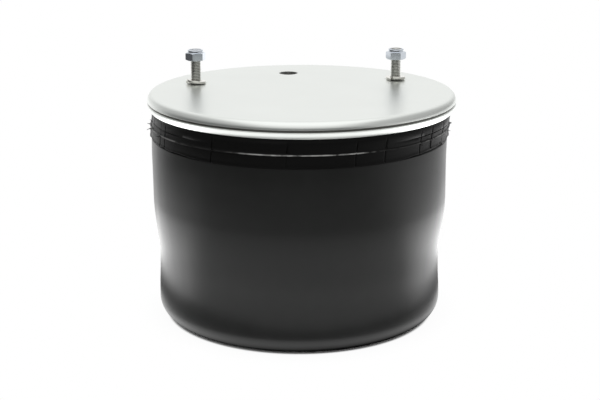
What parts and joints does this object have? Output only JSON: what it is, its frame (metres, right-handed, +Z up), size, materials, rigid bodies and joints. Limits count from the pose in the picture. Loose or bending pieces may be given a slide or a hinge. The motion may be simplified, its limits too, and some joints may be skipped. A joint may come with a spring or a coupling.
{
  "type": "air bellows actuator",
  "caption": "Rolling-lobe air bellows: crimped steel top plate with studs and air port, black rubber sleeve, and a piston inside that the lobe rolls on.",
  "frame": {"origin": "on the axis of the piston, on the surface that the part stands on", "axes": "+Z up along the axis through the top plate, X along the line of the two studs, +Y from the axis towards the side with the air port"},
  "size_m": [0.289, 0.289, 0.2468],
  "materials": {
    "plate_steel": "satin zinc-plated sheet",
    "stud_steel": "zinc-plated, rolled thread",
    "nut_zinc": "bright zinc-plated, bluish",
    "nylon": "moulded nylon",
    "bead_wire": "coated wire",
    "bellows_rubber": "satin moulded rubber",
    "stop_rubber": "matt moulded rubber",
    "piston_paint": "black dip paint"
  },
  "bodies": {
    "piston": {"piston_shell": "piston_paint", "piston_base": "piston_paint", "base_bushes": "stud_steel", "centre_tube": "piston_paint", "end_closure": "stud_steel", "closure_seal": "stop_rubber", "piston_bolt": "nut_zinc", "bolt_washer": "nut_zinc", "piston_nut": "nut_zinc", "bump_stop": "stop_rubber", "bump_stop_foot": "stud_steel", "lower_bead_wire": "bead_wire"},
    "bellows": {"bellows": "bellows_rubber"},
    "top_plate": {"top_plate": "plate_steel", "studs": "stud_steel", "stud_nuts": "nut_zinc", "nut_inserts": "nylon", "spring_washers": "nut_zinc", "air_port_bush": "plate_steel", "upper_bead_wire": "bead_wire"}
  },
  "joints": [
    {"name": "lobe_roll", "type": "slide", "parent": "piston", "child": "bellows", "axis": [0, 0, 1], "range_m": [0, 0.075]},
    {"name": "plate_rise", "type": "slide", "parent": "bellows", "child": "top_plate", "axis": [0, 0, 1], "range_m": [0, 0.075], "deforming": ["bellows"]}
  ],
  "couplings": [
    {"joint": "plate_rise", "follows": "lobe_roll", "ratio": 1}
  ]
}
